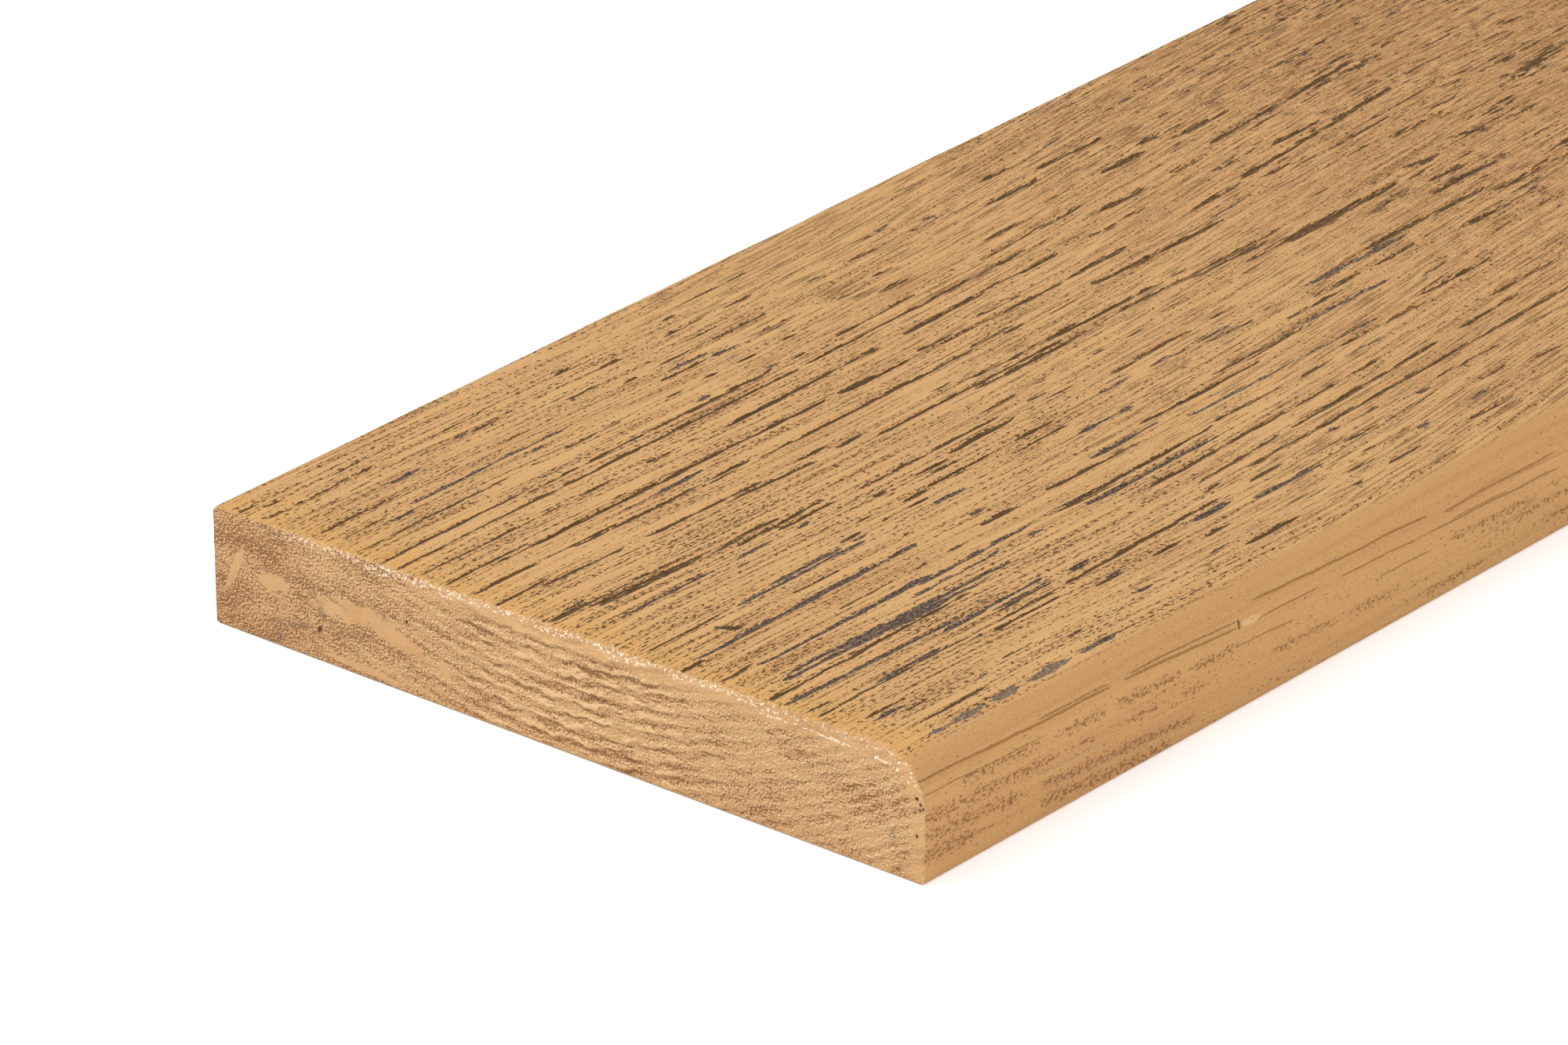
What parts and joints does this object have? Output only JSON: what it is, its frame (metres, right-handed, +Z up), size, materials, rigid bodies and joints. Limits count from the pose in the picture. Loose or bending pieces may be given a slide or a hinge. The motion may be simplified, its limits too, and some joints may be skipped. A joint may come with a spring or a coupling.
{
  "type": "decking board",
  "caption": "Solid decking board with an embossed wood-grain face, one bullnosed long edge, one square long edge and square sawn ends.",
  "frame": {"origin": "middle of the underside, half way along the board", "axes": "+X across the width towards the bullnosed edge, +Y along the length away from the end in view, +Z up out of the grained face"},
  "size_m": [0.184, 2.44, 0.026],
  "materials": {
    "board": "matt, embossed with a wood grain, golden tan with thin dark brown flecks; sawn ends show a paler granular core"
  },
  "bodies": {
    "root": {"decking_board": "board"}
  },
  "joints": []
}
